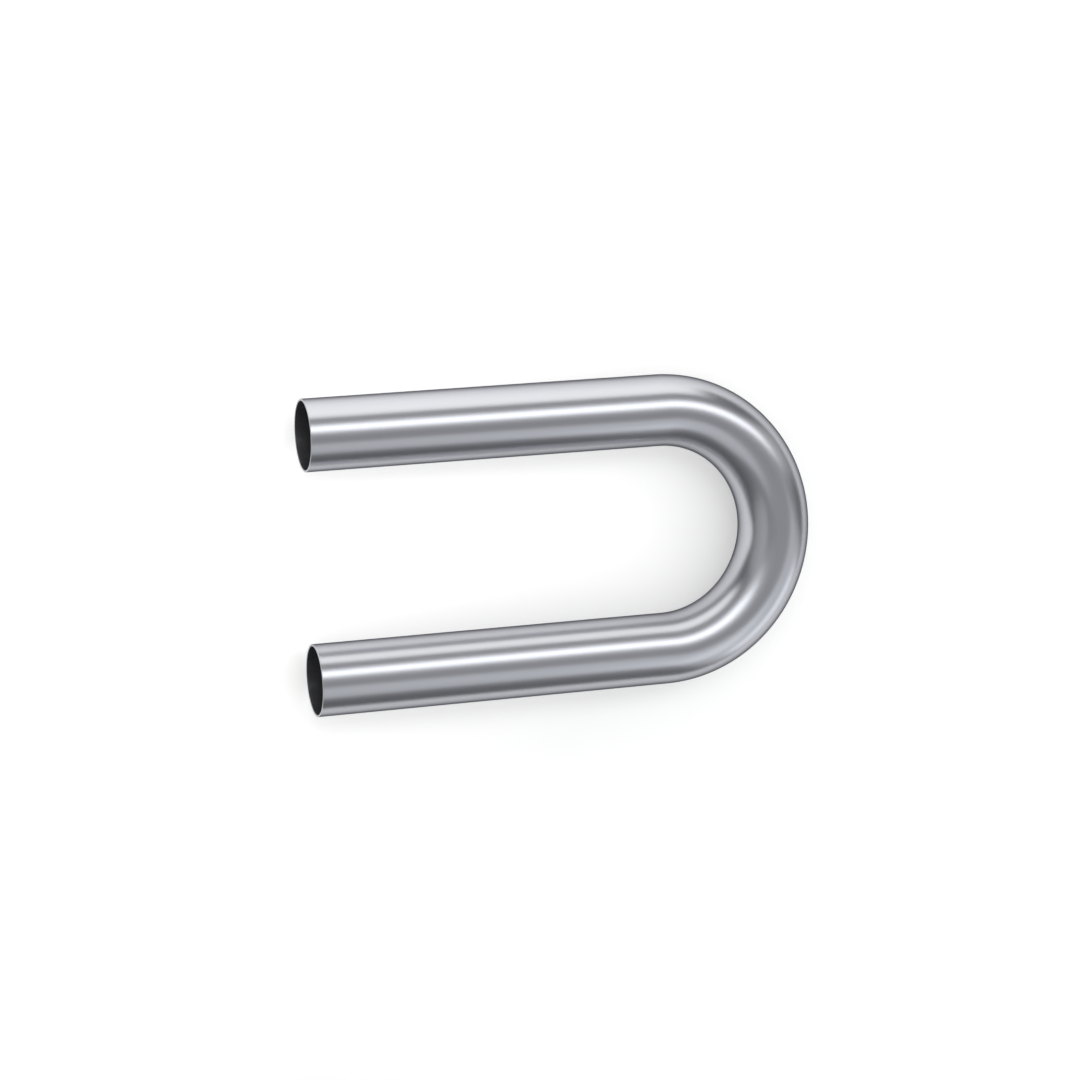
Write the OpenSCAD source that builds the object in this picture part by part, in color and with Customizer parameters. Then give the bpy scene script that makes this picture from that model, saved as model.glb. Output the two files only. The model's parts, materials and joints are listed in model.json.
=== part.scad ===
// Return bend: one length of thin-walled steel tube, bent round half a turn on a mandrel,
// with two straight parallel legs. It lies flat, legs along X, with the bend at +X.

/* [Tube] */
// Outside diameter of the tube
tube_od = 60.3; // [25:0.1:90]
// Wall thickness of the straight legs
wall = 1.65; // [1:0.05:6]

/* [Bend] */
// Centreline radius of the bend
bend_radius = 101.6; // [60:0.1:300]
// Wall lost at the back of the bend, where bending stretches the tube
wall_thinning = 0.2; // [0.05:0.05:0.5]

/* [Legs] */
// Straight length of the leg on the +Y side, from its mouth to the bend
left_leg = 304.8; // [50:0.1:600]
// Straight length of the leg on the -Y side, from its mouth to the bend
right_leg = 304.8; // [50:0.1:600]

/* [Mouths] */
// Edge break left by deburring, on the inside and the outside of each mouth
deburr = 0.3; // [0.1:0.05:0.4]

/* [Hidden] */
$fn = 128;

outer_r = tube_od / 2;
bore_r = outer_r - wall;
// How far a cutting shape runs past the face that it cuts
overshoot = 1;

// The origin is under the middle of the part: the tube lies on z = 0
overall_length = max(left_leg, right_leg) + bend_radius + outer_r;
tangent_x = overall_length / 2 - outer_r - bend_radius;

// One straight leg as a solid rod, from the mouth to bend_start, with a cone at the mouth that
// takes it to mouth_r and a straight stretch of that radius beyond the mouth
module leg_rod(leg, side, radius, mouth_r, bend_start, beyond) {
    mouth_x = tangent_x - leg;
    translate([mouth_x, side * bend_radius, outer_r])
        rotate([0, 90, 0]) {
            if (beyond > 0)
                translate([0, 0, -beyond])
                    cylinder(r = mouth_r, h = beyond);
            cylinder(r1 = mouth_r, r2 = radius, h = deburr);
            translate([0, 0, deburr])
                cylinder(r = radius, h = bend_start - mouth_x - deburr);
        }
}

// The half turn as a solid rod
module bend_rod(radius, bend_start) {
    translate([bend_start, 0, outer_r])
        rotate([0, 0, -90])
            rotate_extrude(angle = 180)
                translate([bend_radius, 0])
                    circle(r = radius);
}

// Both legs and the bend between them as one solid rod
module u_rod(radius, mouth_r, bend_start, beyond = 0) {
    leg_rod(left_leg, 1, radius, mouth_r, bend_start, beyond);
    leg_rod(right_leg, -1, radius, mouth_r, bend_start, beyond);
    bend_rod(radius, bend_start);
}

// The tube: an outer rod less its bore. The bore's half turn sits further out along X, so the
// wall thins smoothly towards the back of the bend and thickens on its inside, as drawn tube does
module return_bend() {
    color("silver")
        difference() {
            u_rod(outer_r, outer_r - deburr, tangent_x);
            u_rod(bore_r, bore_r + deburr, tangent_x + wall_thinning, overshoot);
        }
}

return_bend();
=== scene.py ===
# Return bend: a steel tube turned back on itself, lying on a pale floor
import json
import math

import bpy
from mathutils import Matrix, Vector


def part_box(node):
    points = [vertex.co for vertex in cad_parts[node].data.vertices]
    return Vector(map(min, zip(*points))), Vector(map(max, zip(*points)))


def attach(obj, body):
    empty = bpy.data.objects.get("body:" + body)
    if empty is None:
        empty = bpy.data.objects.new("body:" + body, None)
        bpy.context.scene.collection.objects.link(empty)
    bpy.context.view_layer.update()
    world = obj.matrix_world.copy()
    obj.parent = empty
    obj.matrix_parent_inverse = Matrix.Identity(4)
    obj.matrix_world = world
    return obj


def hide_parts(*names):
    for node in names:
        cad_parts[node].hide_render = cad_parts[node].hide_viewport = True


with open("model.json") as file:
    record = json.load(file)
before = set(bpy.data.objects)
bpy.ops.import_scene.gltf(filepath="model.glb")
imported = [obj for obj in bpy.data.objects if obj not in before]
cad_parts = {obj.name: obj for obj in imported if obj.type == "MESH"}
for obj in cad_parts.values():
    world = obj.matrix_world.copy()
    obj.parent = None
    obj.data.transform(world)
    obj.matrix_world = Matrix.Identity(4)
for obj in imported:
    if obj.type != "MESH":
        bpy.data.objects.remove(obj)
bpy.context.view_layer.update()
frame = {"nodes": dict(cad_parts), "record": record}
scene = bpy.context.scene
mounts = {mount["name"]: mount for mount in frame["record"]["mounts"]}
print("frame loaded:", ", ".join(frame["nodes"]))


# one node, its settings, and its inputs as values or as sockets to link from
def addNode(tree, kind, inputs=None, **settings):
    newNode = tree.nodes.new(kind)
    for name, value in settings.items():
        setattr(newNode, name, value)
    for key, value in (inputs or {}).items():
        if isinstance(value, bpy.types.NodeSocket):
            tree.links.new(value, newNode.inputs[key])
        else:
            newNode.inputs[key].default_value = value
    return newNode


def mathNode(tree, operation, first, second=0.0):
    return addNode(tree, "ShaderNodeMath", {0: first, 1: second}, operation=operation).outputs[0]


# noise turned into a value that strays by the spread to either side of its middle
def spreadNode(tree, noise, middle, spread, span=(0.3, 0.7)):
    return addNode(tree, "ShaderNodeMapRange", {
        "Value": noise, "From Min": span[0], "From Max": span[1],
        "To Min": middle - spread, "To Max": middle + spread,
    }).outputs[0]


def newMaterial(name):
    material = bpy.data.materials.new(name)
    material.use_nodes = True
    material.node_tree.nodes.clear()
    return material, material.node_tree


def finishMaterial(tree, shader):
    addNode(tree, "ShaderNodeOutputMaterial", {"Surface": shader.outputs[0]})


# drawn and polished outside of the tube
steelLook = {
    "colour": (0.572, 0.576, 0.612),
    "edgeTint": (0.05, 0.05, 0.055),  # metal darkens towards a grazing view
    "roughness": 0.28,
    "roughnessSpread": 0.007,
    "toneSpread": 0.008,
    "grainAcross": 1500,  # drawn lines per metre round the tube
    "grainAlong": 14,
    "grainDepth": 0.000004,
    "grainStrength": 0.04,
    "grainShare": 0.6,  # of the unevenness, the rest is clouds
    "cloudSize": 22,  # patches per metre
}


def makeSteel():
    material, tree = newMaterial("satinSteel")
    place = addNode(tree, "ShaderNodeAttribute", attribute_name="tubeCoord").outputs["Vector"]
    stretched = addNode(tree, "ShaderNodeMapping", {
        "Vector": place,
        "Scale": (steelLook["grainAlong"], steelLook["grainAcross"], steelLook["grainAcross"]),
    })
    grain = addNode(tree, "ShaderNodeTexNoise", {
        "Vector": stretched.outputs[0], "Scale": 1.0, "Detail": 3.0, "Roughness": 0.6,
    })
    cloud = addNode(tree, "ShaderNodeTexNoise", {
        "Vector": place, "Scale": steelLook["cloudSize"], "Detail": 4.0, "Roughness": 0.55,
    })
    share = steelLook["grainShare"]
    grainPart = mathNode(tree, "MULTIPLY", grain.outputs[0], share)
    cloudPart = mathNode(tree, "MULTIPLY", cloud.outputs[0], 1.0 - share)
    uneven = mathNode(tree, "ADD", grainPart, cloudPart)
    rough = spreadNode(tree, uneven, steelLook["roughness"], steelLook["roughnessSpread"])
    tone = spreadNode(tree, uneven, 1.0, steelLook["toneSpread"])
    colour = addNode(tree, "ShaderNodeVectorMath", {
        0: steelLook["colour"], "Scale": tone,
    }, operation="SCALE")
    bump = addNode(tree, "ShaderNodeBump", {
        "Height": grain.outputs[0],
        "Strength": steelLook["grainStrength"], "Distance": steelLook["grainDepth"],
    })
    shader = addNode(tree, "ShaderNodeBsdfPrincipled", {
        "Base Color": colour.outputs[0], "Metallic": 1.0, "Roughness": rough,
        "Specular Tint": (*steelLook["edgeTint"], 1.0), "Normal": bump.outputs[0],
    })
    finishMaterial(tree, shader)
    return material


# unpolished inside of the tube; its dark colour is painted shade inside the tube
boreLook = {
    "colour": (0.215, 0.216, 0.234),
    "paleColour": (0.315, 0.316, 0.335),
    "roughness": 0.33,
    "metallic": 0.9,
    "mottleSize": 160,  # patches per metre
}


def makeBore():
    material, tree = newMaterial("boreInPaintedShade")
    place = addNode(tree, "ShaderNodeTexCoord").outputs["Object"]
    mottle = addNode(tree, "ShaderNodeTexNoise", {
        "Vector": place, "Scale": boreLook["mottleSize"], "Detail": 5.0, "Roughness": 0.6,
    })
    # mottled between two dark tones, whose darkness is painted shade in the bore
    colour = addNode(tree, "ShaderNodeMix", {
        "Factor": mottle.outputs[0],
        "A": (*boreLook["colour"], 1.0), "B": (*boreLook["paleColour"], 1.0),
    }, data_type="RGBA")
    shader = addNode(tree, "ShaderNodeBsdfPrincipled", {
        "Base Color": colour.outputs[2],
        "Metallic": boreLook["metallic"], "Roughness": boreLook["roughness"],
    })
    finishMaterial(tree, shader)
    return material


# sawn and deburred rim of each mouth
rimLook = {
    "colour": (0.42, 0.424, 0.445),
    "roughness": 0.36,
    "roughnessSpread": 0.08,
    "sawMarks": 900,  # per metre
}


def makeRim():
    material, tree = newMaterial("sawnRim")
    place = addNode(tree, "ShaderNodeTexCoord").outputs["Object"]
    marks = addNode(tree, "ShaderNodeTexNoise", {
        "Vector": place, "Scale": rimLook["sawMarks"], "Detail": 2.0,
    })
    rough = spreadNode(
        tree, marks.outputs[0], rimLook["roughness"], rimLook["roughnessSpread"], span=(0.0, 1.0))
    shader = addNode(tree, "ShaderNodeBsdfPrincipled", {
        "Base Color": (*rimLook["colour"], 1.0), "Metallic": 1.0, "Roughness": rough,
    })
    finishMaterial(tree, shader)
    return material


# the tube itself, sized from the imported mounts
tube = {
    "outerRadius": mounts["left_outside"]["dims"]["r_mm"] / 1000,
    "boreRadius": mounts["left_bore"]["dims"]["r_mm"] / 1000,
    "bendRadius": mounts["left_bore"]["pos_m"][1],
    "edgeBreak": 0.0003,  # deburred edges of the mouths
    "edgeAngle": 60,  # degrees, edges sharper than this are deburred
    "edgeSteps": 3,
    "thinning": 0.0002,  # wall lost at the back of the bend
    "facesRound": 144,
    "rings": 280,
    "weldDistance": 0.00002,  # joins the rims to the bore
}
tube["legLength"] = mounts["left_outside"]["dims"]["length_mm"] / 1000 + tube["edgeBreak"]
tube["tangentX"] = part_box("return_bend")[0].x + tube["legLength"]


# a curve down one leg, round the bend and back along the other leg
def addPath(tree, sizes, shift):
    legLength = mathNode(tree, "ADD", sizes["Leg length"], shift)
    tangentX = mathNode(tree, "ADD", sizes["Tangent X"], shift)
    bendRadius = sizes["Bend radius"]
    bendLength = mathNode(tree, "MULTIPLY", bendRadius, math.pi)
    pastBend = mathNode(tree, "ADD", legLength, bendLength)
    total = mathNode(tree, "ADD", pastBend, legLength)
    step = mathNode(tree, "DIVIDE", total, mathNode(tree, "SUBTRACT", sizes["Rings"], 1.0))
    ring = addNode(tree, "GeometryNodeInputIndex").outputs[0]
    along = mathNode(tree, "MULTIPLY", ring, step)
    turned = mathNode(tree, "DIVIDE", mathNode(tree, "SUBTRACT", along, legLength), bendRadius)
    angle = mathNode(tree, "MINIMUM", mathNode(tree, "MAXIMUM", turned, 0.0), math.pi)
    reach = mathNode(tree, "MULTIPLY", mathNode(tree, "SINE", angle), bendRadius)
    firstLeg = mathNode(tree, "MAXIMUM", mathNode(tree, "SUBTRACT", legLength, along), 0.0)
    lastLeg = mathNode(tree, "MAXIMUM", mathNode(tree, "SUBTRACT", along, pastBend), 0.0)
    legs = mathNode(tree, "ADD", firstLeg, lastLeg)
    x = mathNode(tree, "SUBTRACT", mathNode(tree, "ADD", tangentX, reach), legs)
    y = mathNode(tree, "MULTIPLY", mathNode(tree, "COSINE", angle), bendRadius)
    point = addNode(tree, "ShaderNodeCombineXYZ", {"X": x, "Y": y, "Z": sizes["Outer radius"]})
    line = addNode(tree, "GeometryNodeMeshLine", {"Count": sizes["Rings"]})
    placed = addNode(tree, "GeometryNodeSetPosition", {
        "Geometry": line.outputs[0], "Position": point.outputs[0],
    })
    marked = addNode(tree, "GeometryNodeStoreNamedAttribute", {
        "Geometry": placed.outputs[0], "Name": "alongTube", "Value": along,
    }, data_type="FLOAT", domain="POINT")
    curve = addNode(tree, "GeometryNodeMeshToCurve", {"Mesh": marked.outputs[0]})
    upright = addNode(tree, "GeometryNodeSetCurveNormal", {"Curve": curve.outputs[0]}, mode="Z_UP")
    return upright.outputs[0]


def readAttribute(tree, name, kind):
    return addNode(tree, "GeometryNodeInputNamedAttribute", {"Name": name}, data_type=kind).outputs[0]


# a round shell along a path, which keeps its place on the straightened tube for the finish
def addShell(tree, sizes, path, radius):
    circle = addNode(tree, "GeometryNodeCurvePrimitiveCircle", {
        "Resolution": sizes["Faces round"], "Radius": radius,
    })
    section = addNode(tree, "GeometryNodeStoreNamedAttribute", {
        "Geometry": circle.outputs[0], "Name": "sectionPoint",
        "Value": addNode(tree, "GeometryNodeInputPosition").outputs[0],
    }, data_type="FLOAT_VECTOR", domain="POINT")
    shell = addNode(tree, "GeometryNodeCurveToMesh", {"Curve": path, "Profile Curve": section.outputs[0]})
    along = readAttribute(tree, "alongTube", "FLOAT")
    across = readAttribute(tree, "sectionPoint", "FLOAT_VECTOR")
    split = addNode(tree, "ShaderNodeSeparateXYZ", {0: across})
    straight = addNode(tree, "ShaderNodeCombineXYZ", {
        "X": along, "Y": split.outputs[0], "Z": split.outputs[1],
    })
    return addNode(tree, "GeometryNodeStoreNamedAttribute", {
        "Geometry": shell.outputs[0], "Name": "tubeCoord", "Value": straight.outputs[0],
    }, data_type="FLOAT_VECTOR", domain="POINT").outputs[0]


# marks faces with a yes or no attribute, for the finishes at the end of the tree
def markFaces(tree, geometry, name, selection=True):
    return addNode(tree, "GeometryNodeStoreNamedAttribute", {
        "Geometry": geometry, "Selection": selection, "Name": name, "Value": True,
    }, data_type="BOOLEAN", domain="FACE").outputs[0]


def buildTubeTree():
    tree = bpy.data.node_groups.new("bentTube", "GeometryNodeTree")
    tree.interface.new_socket("Geometry", in_out="OUTPUT", socket_type="NodeSocketGeometry")
    sockets = {
        "NodeSocketFloat": (
            "Outer radius", "Bore radius", "Bend radius", "Leg length",
            "Tangent X", "Thinning", "Weld distance",
        ),
        "NodeSocketInt": ("Faces round", "Rings"),
        "NodeSocketMaterial": ("Steel", "Bore", "Rim"),
    }
    for kind, names in sockets.items():
        for name in names:
            tree.interface.new_socket(name, in_out="INPUT", socket_type=kind)
    sizes = addNode(tree, "NodeGroupInput").outputs

    outside = addShell(tree, sizes, addPath(tree, sizes, 0.0), sizes["Outer radius"])
    bore = addShell(tree, sizes, addPath(tree, sizes, sizes["Thinning"]), sizes["Bore radius"])
    bore = addNode(tree, "GeometryNodeFlipFaces", {"Mesh": markFaces(tree, bore, "isBore")}).outputs[0]

    # the rim: the open edges of the outside, drawn in towards the leg's own axis as far as the bore
    wall = mathNode(tree, "SUBTRACT", sizes["Outer radius"], sizes["Bore radius"])
    position = addNode(tree, "GeometryNodeInputPosition").outputs[0]
    here = addNode(tree, "ShaderNodeSeparateXYZ", {0: position})
    side = mathNode(tree, "MULTIPLY", mathNode(tree, "SIGN", here.outputs[1]), sizes["Bend radius"])
    inward = addNode(tree, "ShaderNodeCombineXYZ", {
        "Y": mathNode(tree, "SUBTRACT", side, here.outputs[1]),
        "Z": mathNode(tree, "SUBTRACT", sizes["Outer radius"], here.outputs[2]),
    })
    inward = addNode(tree, "ShaderNodeVectorMath", {0: inward.outputs[0]}, operation="NORMALIZE")
    faceCount = addNode(tree, "GeometryNodeInputMeshEdgeNeighbors").outputs[0]
    openEdge = addNode(tree, "FunctionNodeCompare", {
        2: faceCount, 3: 1,
    }, data_type="INT", operation="EQUAL")
    rim = addNode(tree, "GeometryNodeExtrudeMesh", {
        "Mesh": outside, "Selection": openEdge.outputs[0],
        "Offset": inward.outputs[0], "Offset Scale": wall,
    }, mode="EDGES")
    outside = markFaces(tree, rim.outputs["Mesh"], "isRim", rim.outputs["Side"])

    both = addNode(tree, "GeometryNodeJoinGeometry")
    tree.links.new(outside, both.inputs[0])
    tree.links.new(bore, both.inputs[0])
    welded = addNode(tree, "GeometryNodeMergeByDistance", {
        "Geometry": both.outputs[0], "Distance": sizes["Weld distance"],
    })
    smooth = addNode(tree, "GeometryNodeSetShadeSmooth", {"Geometry": welded.outputs[0]})
    result = addNode(tree, "GeometryNodeRealizeInstances", {"Geometry": smooth.outputs[0]}).outputs[0]
    for finish, mark in (("Steel", None), ("Bore", "isBore"), ("Rim", "isRim")):
        setting = addNode(tree, "GeometryNodeSetMaterial", {"Geometry": result, "Material": sizes[finish]})
        if mark:
            tree.links.new(readAttribute(tree, mark, "BOOLEAN"), setting.inputs["Selection"])
        result = setting.outputs[0]
    addNode(tree, "NodeGroupOutput", {0: result})
    return tree


def makeTube():
    tree = buildTubeTree()
    values = {
        "Outer radius": tube["outerRadius"], "Bore radius": tube["boreRadius"],
        "Bend radius": tube["bendRadius"], "Leg length": tube["legLength"],
        "Tangent X": tube["tangentX"], "Thinning": tube["thinning"],
        "Weld distance": tube["weldDistance"], "Faces round": tube["facesRound"], "Rings": tube["rings"],
        "Steel": makeSteel(), "Bore": makeBore(), "Rim": makeRim(),
    }
    piece = bpy.data.objects.new("bentTube", bpy.data.meshes.new("bentTube"))
    scene.collection.objects.link(piece)
    sweep = piece.modifiers.new("sweep", "NODES")
    sweep.node_group = tree
    for socket in tree.interface.items_tree:
        if socket.in_out == "INPUT":
            sweep[socket.identifier] = values[socket.name]
    deburr = piece.modifiers.new("deburr", "BEVEL")
    deburr.limit_method = "ANGLE"
    deburr.angle_limit = math.radians(tube["edgeAngle"])
    deburr.width = tube["edgeBreak"]
    deburr.segments = tube["edgeSteps"]
    even = piece.modifiers.new("evenNormals", "WEIGHTED_NORMAL")
    even.keep_sharp = True

    depsgraph = bpy.context.evaluated_depsgraph_get()
    mesh = bpy.data.meshes.new_from_object(piece.evaluated_get(depsgraph), depsgraph=depsgraph)
    piece.modifiers.clear()
    piece.data = mesh
    mesh.name = "bentTube"
    return piece


piece = makeTube()
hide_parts("return_bend")
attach(piece, "root")
print("tube made:", len(piece.data.polygons), "faces")


# pale floor with painted light; the lens and the metal see its glow besides the lamps' light, which makes
# the view white
floorLook = {
    "colour": (0.66, 0.658, 0.652),
    "glow": (0.61, 0.92),  # painted light, at the ends of the span
    "glowTowards": (-0.75, 0.66, 0.0),  # the way the painted light rises
    "glowSpan": (-0.12, 0.30),  # metres along that way
    "glowColour": (1.0, 0.997, 0.988),
    "glowCentre": (0.0, 0.60, 0.0),
    "glowHalfSize": (0.60, 1.18),
    "glowSquareness": 4.0,  # 2 would be an ellipse
    "softEdge": 1.60,  # share of the half size over which the glow fades
    "farGlow": 0.35,  # share of the glow left beyond it
    # painted contact shadow in the glow, from ambient occlusion
    "shadowReach": 0.08,  # metres
    "shadowSamples": 4,
    "shadowDepth": 0.5,  # share of the glow lost right under the object, as painted shadow
    "size": 12.0,
}


# painted pool of light on the floor: 1 inside a rectangle with round corners, falling softly outside it
def addPaintedGlowPatch(tree, place):
    moved = addNode(tree, "ShaderNodeVectorMath", {
        0: place, 1: floorLook["glowCentre"],
    }, operation="SUBTRACT")
    split = addNode(tree, "ShaderNodeSeparateXYZ", {0: moved.outputs[0]})
    power = floorLook["glowSquareness"]
    total = 0.0
    for axis, half in zip("XY", floorLook["glowHalfSize"]):
        share = mathNode(tree, "ABSOLUTE", mathNode(tree, "DIVIDE", split.outputs[axis], half))
        total = mathNode(tree, "ADD", mathNode(tree, "POWER", share, power), total)
    return addNode(tree, "ShaderNodeMapRange", {
        "Value": mathNode(tree, "POWER", total, 1.0 / power),
        "From Min": 1.0, "From Max": 1.0 + floorLook["softEdge"],
        "To Min": 1.0, "To Max": floorLook["farGlow"],
    }, interpolation_type="SMOOTHSTEP").outputs[0]


def makeFloor():
    half = floorLook["size"] / 2
    corners = [(-half, -half, 0), (half, -half, 0), (half, half, 0), (-half, half, 0)]
    mesh = bpy.data.meshes.new("floor")
    mesh.from_pydata(corners, [], [(0, 1, 2, 3)])
    floor = bpy.data.objects.new("floor", mesh)
    scene.collection.objects.link(floor)
    material, tree = newMaterial("paleFloor")
    lit = addNode(tree, "ShaderNodeBsdfDiffuse", {"Color": (*floorLook["colour"], 1.0)})
    path = addNode(tree, "ShaderNodeLightPath").outputs
    seen = mathNode(tree, "MAXIMUM", path["Is Camera Ray"], path["Is Glossy Ray"])
    seen = mathNode(tree, "MAXIMUM", seen, path["Is Transmission Ray"])
    # the painted glow rises one way, fades far off and is dimmed close round the object by a painted
    # shadow
    place = addNode(tree, "ShaderNodeTexCoord").outputs["Object"]
    across = addNode(tree, "ShaderNodeVectorMath", {
        0: place, 1: floorLook["glowTowards"],
    }, operation="DOT_PRODUCT")
    level = addNode(tree, "ShaderNodeMapRange", {
        "Value": across.outputs["Value"],
        "From Min": floorLook["glowSpan"][0], "From Max": floorLook["glowSpan"][1],
        "To Min": floorLook["glow"][0], "To Max": floorLook["glow"][1],
    }).outputs[0]
    # painted contact shadow: ambient occlusion dims the glow round the object
    paintedContactShadow = addNode(tree, "ShaderNodeAmbientOcclusion", {
        "Distance": floorLook["shadowReach"],
    }, samples=floorLook["shadowSamples"])
    glow = mathNode(tree, "MULTIPLY", mathNode(tree, "MULTIPLY", seen, level), addPaintedGlowPatch(tree, place))
    shadow = addNode(tree, "ShaderNodeMapRange", {
        "Value": paintedContactShadow.outputs["AO"], "To Min": 1.0 - floorLook["shadowDepth"], "To Max": 1.0,
    })
    glow = mathNode(tree, "MULTIPLY", glow, shadow.outputs[0])
    glowing = addNode(tree, "ShaderNodeEmission", {
        "Color": (*floorLook["glowColour"], 1.0), "Strength": glow,
    })
    finishMaterial(tree, addNode(tree, "ShaderNodeAddShader", {0: lit.outputs[0], 1: glowing.outputs[0]}))
    mesh.materials.append(material)
    return floor


makeFloor()
print("floor made")

# soft lamps: where each stands, the point it faces, the axis its first size runs along; glow 1 is white
lamps = {
    "keyStrip": {
        "place": (1.20, 1.03, 2.20), "faces": (1.20, 0.0, 0.03), "along": "X", "size": (3.8, 0.65),
        "glow": 1.62, "colour": (0.98, 1.0, 1.0),
    },
    "keyHalo": {
        "place": (1.15, 1.05, 2.26), "faces": (1.15, 0.0, 0.03), "along": "X", "size": (5.2, 1.15),
        "glow": 0.57, "colour": (0.98, 1.0, 1.0),
    },
    "sidePanel": {
        "place": (-0.05, 1.82, 0.51), "faces": (-0.05, 0.0, 0.05), "along": "X", "size": (2.9, 1.00),
        "glow": 1.32, "colour": (1.0, 1.0, 0.97),
    },
    "endPanel": {
        "place": (0.75, -0.51, 0.48), "faces": (0.10, -0.05, 0.05), "along": "Z", "size": (0.76, 0.92),
        "glow": 0.46, "colour": (0.955, 0.985, 1.0),
    },
    "endCore": {
        "place": (0.68, -0.45, 0.19), "faces": (0.10, -0.05, 0.05), "along": "Z", "size": (0.28, 0.46),
        "glow": 0.8, "colour": (0.955, 0.985, 1.0),
    },
    "rightFill": {
        "place": (1.45, 0.46, 0.50), "faces": (0.20, 0.08, 0.05), "along": "Y", "size": (0.55, 0.70),
        "glow": 0.42, "colour": (1.0, 1.0, 1.0),
    },
    "frontFill": {
        "place": (0.40, -0.79, 1.09), "faces": (0.40, 0.0, 0.03), "along": "X", "size": (1.3, 0.80),
        "glow": 0.445, "colour": (0.95, 0.985, 1.0),
    },
    "mouthPanel": {
        "place": (-1.64, 0.0, 1.15), "faces": (0.0, 0.0, 0.03), "along": "Y", "size": (2.0, 1.6),
        "glow": 0.29, "colour": (1.0, 1.0, 1.0),
    },
}


def makeLamp(name, look):
    axisZ = (Vector(look["place"]) - Vector(look["faces"])).normalized()  # a lamp shines down its own Z
    axisX = Vector([float(letter == look["along"]) for letter in "XYZ"])
    axisX = (axisX - axisZ * axisX.dot(axisZ)).normalized()
    turn = Matrix((axisX, axisZ.cross(axisX), axisZ)).transposed()
    light = bpy.data.lights.new(name, "AREA")
    light.shape = "RECTANGLE"
    light.size, light.size_y = look["size"]
    light.energy = look["glow"] * math.pi * light.size * light.size_y
    light.color = look["colour"]
    lamp = bpy.data.objects.new(name, light)
    lamp.matrix_world = Matrix.Translation(look["place"]) @ turn.to_4x4()
    lamp.visible_camera = False  # the metal shows the lamps, the lens does not
    scene.collection.objects.link(lamp)


for name, look in lamps.items():
    makeLamp(name, look)

# the room round the lamps, darker towards the horizon
roomLook = {
    "colour": (0.96, 0.97, 1.0),
    "lowGlow": 0.085,  # at the horizon
    "highGlow": 0.36,  # overhead
}


def makeRoom():
    world = bpy.data.worlds.new("studio")
    world.use_nodes = True
    tree = world.node_tree
    direction = addNode(tree, "ShaderNodeTexCoord").outputs["Generated"]
    height = addNode(tree, "ShaderNodeSeparateXYZ", {0: direction}).outputs["Z"]
    glow = addNode(tree, "ShaderNodeMapRange", {
        "Value": height, "From Min": 0.0, "From Max": 1.0,
        "To Min": roomLook["lowGlow"], "To Max": roomLook["highGlow"],
    })
    background = tree.nodes["Background"]
    background.inputs["Color"].default_value = (*roomLook["colour"], 1.0)
    tree.links.new(glow.outputs[0], background.inputs["Strength"])
    scene.world = world


makeRoom()
print("lamps made:", ", ".join(lamps))

# the view: object axes turned into camera axes, with the bend's centre placed in front of the lens
view = {
    "yaw": 17.266,  # degrees
    "pitch": 7.400,
    "roll": 4.566,
    "bendInView": (0.10171, 0.00866, -2.81376),  # metres
    "lens": 111.0,  # millimetres
    "farthest": 50.0,  # metres
}


def makeCamera():
    turn = Matrix.Rotation(math.radians(view["yaw"]), 3, "Y")
    turn = turn @ Matrix.Rotation(math.radians(view["pitch"]), 3, "X")
    turn = turn @ Matrix.Rotation(math.radians(view["roll"]), 3, "Z")
    back = turn.transposed()
    bendCentre = Vector((tube["tangentX"], 0.0, tube["outerRadius"]))
    data = bpy.data.cameras.new("camera")
    data.lens = view["lens"]
    data.clip_end = view["farthest"]
    camera = bpy.data.objects.new("camera", data)
    place = bendCentre - back @ Vector(view["bendInView"])
    camera.matrix_world = Matrix.Translation(place) @ back.to_4x4()
    scene.collection.objects.link(camera)
    scene.camera = camera


makeCamera()
scene.view_settings.view_transform = "Standard"
print("camera set")
